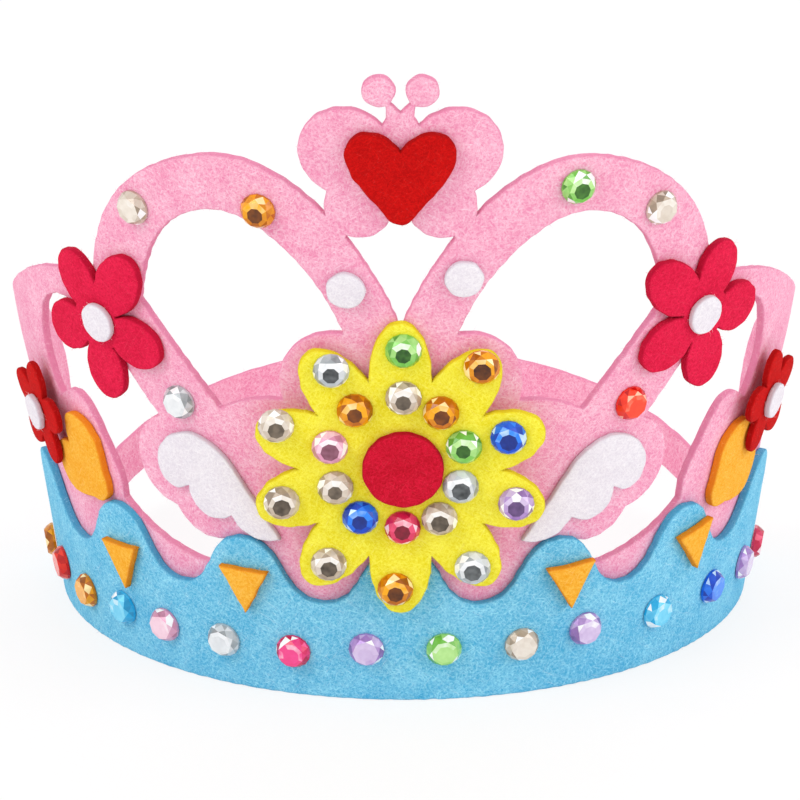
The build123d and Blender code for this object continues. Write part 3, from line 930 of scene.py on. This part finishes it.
@dataclass
class StoneWork:
    """All the flat-backed stones, cut with an eight-sided table, a star, kites and a girdle."""

    sides: int = 8
    girdle_radius: float = 4.0
    star_radius: float = 3.45
    table_radius: float = 2.95
    # the spot in the table is a painted reflection
    spot_radius: float = 1.95
    spot_sizes: tuple[float, float] = (0.85, 1.1)  # times spot_radius
    spot_drop: float = 0.3
    spot_sway: float = 0.5  # radians
    girdle: float = 0.6
    star_height: float = 1.6
    height: float = 2.3
    # tones of the painted reflection; a glint is a painted highlight
    table_stray: float = 0.08
    crown_tones: tuple[float, float] = (0.22, 0.72)
    wall_tones: tuple[float, float] = (0.4, 0.6)
    glint_chance: float = 0.16
    shaded: tuple[str, ...] = ("daisy_gems", "hoop_gem_crown")  # starts of names of nodes given painted shade
    rng: np.random.Generator = field(default_factory=lambda: np.random.default_rng(5))

    @staticmethod
    def ring(count: int, radius: float, height: float, turn: float) -> Points:
        """Evenly spaced points of a level circle, the first at the angle turn in radians."""
        angle = turn + 2 * np.pi * np.arange(count) / count
        return np.stack([radius * np.cos(angle), radius * np.sin(angle), np.full(count, height)], axis=-1)

    def cut(self, mirrored: Mirrored) -> tuple[Points, Indices, Points]:
        """Cuts one stone, turned at random, with the painted spot below the middle of its table.

        A facet's painted tone is its own random part plus, on the table, a share of the cosine from
        straight up.

        Args:
            mirrored: What the foil is painted as mirroring: shade, or light from the floor.

        Returns:
            Points, triangles and each triangle's painted reflection tone.
        """
        n = self.sides
        half = np.pi / n
        turn = self.rng.uniform(0, 2 * half)
        sway = self.rng.uniform(-self.spot_sway, self.spot_sway)
        shift = self.spot_drop * np.array([math.sin(sway), -math.cos(sway), 0.0])
        size = self.spot_radius * self.rng.uniform(*self.spot_sizes)
        # the spot: a painted reflection in the table, dark for shade, pale for light
        spot = self.ring(n, size, self.height, turn) + shift
        points = np.concatenate(
            [
                spot,
                self.ring(n, self.table_radius, self.height, turn),
                self.ring(n, self.star_radius, self.star_height, turn + half),
                self.ring(2 * n, self.girdle_radius, self.girdle, turn),
                self.ring(2 * n, self.girdle_radius, 0.0, turn),
                [shift + (0.0, 0.0, self.height), (0.0, 0.0, 0.0)],
            ]
        )
        i, j = np.arange(n), np.arange(2 * n)
        after, before, beyond = (i + 1) % n, (i - 1) % n, (j + 1) % (2 * n)
        a, b, c, d, e, top, under = 0, n, 2 * n, 3 * n, 5 * n, 7 * n, 7 * n + 1
        d_even, d_odd, d_next = d + 2 * i, d + 2 * i + 1, d + (2 * i + 2) % (2 * n)
        angle = turn + 2 * half * (i + 0.5)
        middle, slope, spot_tones = mirrored.value
        # painted highlight: the table's upper facets are lighter
        table = middle + slope * np.sin(angle) + self.rng.uniform(-self.table_stray, self.table_stray, n)
        crown = self.rng.uniform(*self.crown_tones, (4, n))
        # a glint is a painted highlight at full tone
        star, kite, low, lower = np.where(self.rng.uniform(size=(4, n)) < self.glint_chance, 1.0, crown)
        wall = self.rng.uniform(*self.wall_tones, 2 * n)
        spot_tone = np.full(n, self.rng.uniform(*spot_tones))
        rows = [
            ((np.full(n, top), a + i, a + after), spot_tone),
            ((a + i, b + i, b + after), table),
            ((a + i, b + after, a + after), table),
            ((b + i, c + i, b + after), star),
            ((b + i, c + before, d_even), kite),
            ((b + i, d_even, c + i), kite),
            ((c + i, d_even, d_odd), low),
            ((c + i, d_odd, d_next), lower),
            ((d + j, e + j, e + beyond), wall),
            ((d + j, e + beyond, d + beyond), wall),
            ((np.full(2 * n, under), e + beyond, e + j), wall),
        ]
        triangles = np.concatenate([np.stack(corners, axis=-1) for corners, _ in rows])
        return points, triangles, np.concatenate([tone for _, tone in rows])

    @staticmethod
    def seats(node: str) -> Iterator[PlaneLay]:
        """Finds where the stones of a node sit: one plane, at its back, for each joined set of triangles.

        Args:
            node: Name of the CAD node.

        Yields:
            The seats.
        """
        points, triangles = node_mesh(node)
        label, older = np.arange(len(points)), np.empty(0)
        while not np.array_equal(label, older):
            older = label.copy()
            np.minimum.at(label, triangles.ravel(), np.repeat(older[triangles].min(axis=1), 3))
        for name in np.unique(label):
            lay = PlaneLay.through(points, triangles[label[triangles[:, 0]] == name])
            depth = lay.flatten(points[label == name])[:, 2].min()
            yield PlaneLay(lay.lay(np.array([0.0, 0.0, depth])), lay.axes)

    def make(self, slots: dict[str, str]) -> None:
        """Builds the stones of every node that takes a stone finish.

        Args:
            slots: Stone finish of each node.
        """
        materials = {slot: stone.material() for slot, stone in STONES.items()}
        for node, slot in slots.items():
            mirrored = Mirrored.SHADE if node.startswith(self.shaded) else Mirrored.LIGHT
            cuts = [(seat, *self.cut(mirrored)) for seat in self.seats(node)]
            size = len(cuts[0][1])
            points = np.concatenate([seat.lay(stone) for seat, stone, _, _ in cuts])
            faces = np.concatenate([faces + size * number for number, (_, _, faces, _) in enumerate(cuts)])
            tones = np.concatenate([tone for _, _, _, tone in cuts])
            piece = new_object(f"{node}_stone", points, faces, smooth=False, attributes={PAINTED_REFLECTION: tones})
            settle(piece, materials[slot], slot, node)
            log.info("%s: %d stones", piece.name, len(cuts))


# Studio


@dataclass(frozen=True)
class Lamp:
    """A soft square lamp that looks at the crown."""

    name: str
    place: tuple[float, float, float]
    size: float
    power: float


@dataclass
class Studio:
    """Pale floor, soft light and the camera. Places are in metres."""

    aim: tuple[float, float, float] = (0.0, -0.02, 0.07)
    camera_place: tuple[float, float, float] = (0.0113, -1.3791, 0.5284)
    camera_yaw: float = 0.0089  # radians
    camera_pitch: float = 19.39  # degrees
    lens: float = 282.3
    sensor: float = 36.0
    ambient: float = 0.72
    floor_half: float = 8.0
    floor_colour: str = "#FAFAFA"
    floor_glow: float = 0.8  # share of the floor that the camera sees as plain white
    lamps: tuple[Lamp, ...] = (
        Lamp("key_lamp", (-1.2, -1.0, 1.4), 0.9, 13.0),
        Lamp("fill_lamp", (1.5, -0.7, 0.9), 1.2, 10.5),
        Lamp("back_lamp", (0.2, 1.4, 1.4), 1.2, 8.0),
    )

    def make(self) -> None:
        """Builds the floor, the world, the lamps and the camera."""
        self.make_floor()
        self.make_world()
        self.make_lamps()
        self.make_camera()
        bpy.context.scene.view_settings.view_transform = "Standard"

    @staticmethod
    def seen(tree: Any) -> Any:
        """Adds the test for rays that show the background: camera, glossy or transmission.

        Args:
            tree: Node tree that gets the test.

        Returns:
            Node that gives 1 for such a ray and 0 for others.
        """
        ray = add_node(tree, "LightPath").outputs
        shown: Any = 0.0
        for kind in ("Camera", "Glossy", "Transmission"):
            parts = {0: shown, 1: ray[f"Is {kind} Ray"]}
            shown = add_node(tree, "Math", parts, operation="ADD", use_clamp=True)
        return shown

    def make_floor(self) -> None:
        """Builds a smooth painted floor that looks nearly white and keeps the crown's shadow."""
        corners = self.floor_half / MM * np.array([(-1, -1, 0), (1, -1, 0), (1, 1, 0), (-1, 1, 0)])
        floor = new_object("floor", corners, np.array([[0, 1, 2, 3]]), smooth=False)
        material, tree = new_material("matt_white_paint")
        paint = add_node(tree, "BsdfDiffuse", {"Color": linear(self.floor_colour)})
        glow = add_node(tree, "Emission", {"Color": (1.0, 1.0, 1.0, 1.0), "Strength": 1.0})
        share = add_node(tree, "Math", {0: self.seen(tree), 1: self.floor_glow}, operation="MULTIPLY")
        mixed = add_node(tree, "MixShader", {0: share, 1: paint, 2: glow})
        add_node(tree, "OutputMaterial", {"Surface": mixed})
        floor.data.materials.append(material)

    def make_world(self) -> None:
        """Builds an even white surround: plain white where it is seen, weaker where it only lights."""
        world = bpy.data.worlds.new("white_surround")
        world.use_nodes = True
        tree = world.node_tree
        tree.nodes.clear()
        lit = {"Value": self.seen(tree), "To Min": self.ambient, "To Max": 1.0}
        strength = add_node(tree, "MapRange", lit)
        sky = add_node(tree, "Background", {"Color": (1.0, 1.0, 1.0, 1.0), "Strength": strength})
        add_node(tree, "OutputWorld", {"Surface": sky})
        bpy.context.scene.world = world

    def make_lamps(self) -> None:
        """Places the lamps, turned to the crown."""
        for lamp in self.lamps:
            data = bpy.data.lights.new(lamp.name, "AREA")
            data.shape = "SQUARE"
            data.size = lamp.size
            data.energy = lamp.power
            light = bpy.data.objects.new(lamp.name, data)
            light.location = lamp.place
            light.rotation_mode = "QUATERNION"
            light.rotation_quaternion = (Vector(self.aim) - Vector(lamp.place)).to_track_quat("-Z", "Y")
            bpy.context.scene.collection.objects.link(light)

    def make_camera(self) -> None:
        """Places the camera at the photograph's angle."""
        yaw, pitch = self.camera_yaw, math.radians(self.camera_pitch)
        level = math.cos(pitch)
        ahead = Vector((-math.sin(yaw) * level, math.cos(yaw) * level, -math.sin(pitch)))
        data = bpy.data.cameras.new("camera")
        data.lens = self.lens
        data.sensor_width = self.sensor
        camera = bpy.data.objects.new("camera", data)
        camera.location = self.camera_place
        camera.rotation_mode = "QUATERNION"
        camera.rotation_quaternion = ahead.to_track_quat("-Z", "Y")
        bpy.context.scene.collection.objects.link(camera)
        bpy.context.scene.camera = camera


BAND_COLOURS = (
    "amber red amber aqua pink clear hot_pink lilac green champagne lilac aqua blue lilac rose".split()
)
STONE_SLOTS = {
    **{f"band_gem_{number:02d}": f"gem_{colour}" for number, colour in enumerate(BAND_COLOURS, start=1)},
    "hoop_gem_crown_left": "gem_amber",
    "hoop_gem_crown_right": "gem_green",
    "hoop_gem_shoulder_left": "gem_champagne",
    "hoop_gem_shoulder_right": "gem_champagne",
    "hoop_gem_foot_left": "gem_clear",
    "hoop_gem_foot_right": "gem_red",
    **{
        f"daisy_gems_{colour}": f"gem_{colour}"
        for colour in ("clear", "green", "amber", "champagne", "blue", "lilac", "pink", "rose")
    },
}


def main() -> None:
    logging.basicConfig(level=logging.INFO, format="%(name)s: %(message)s")
    Studio().make()
    FeltWork().make()
    StoneWork().make(STONE_SLOTS)


if __name__ == "__main__":
    main()
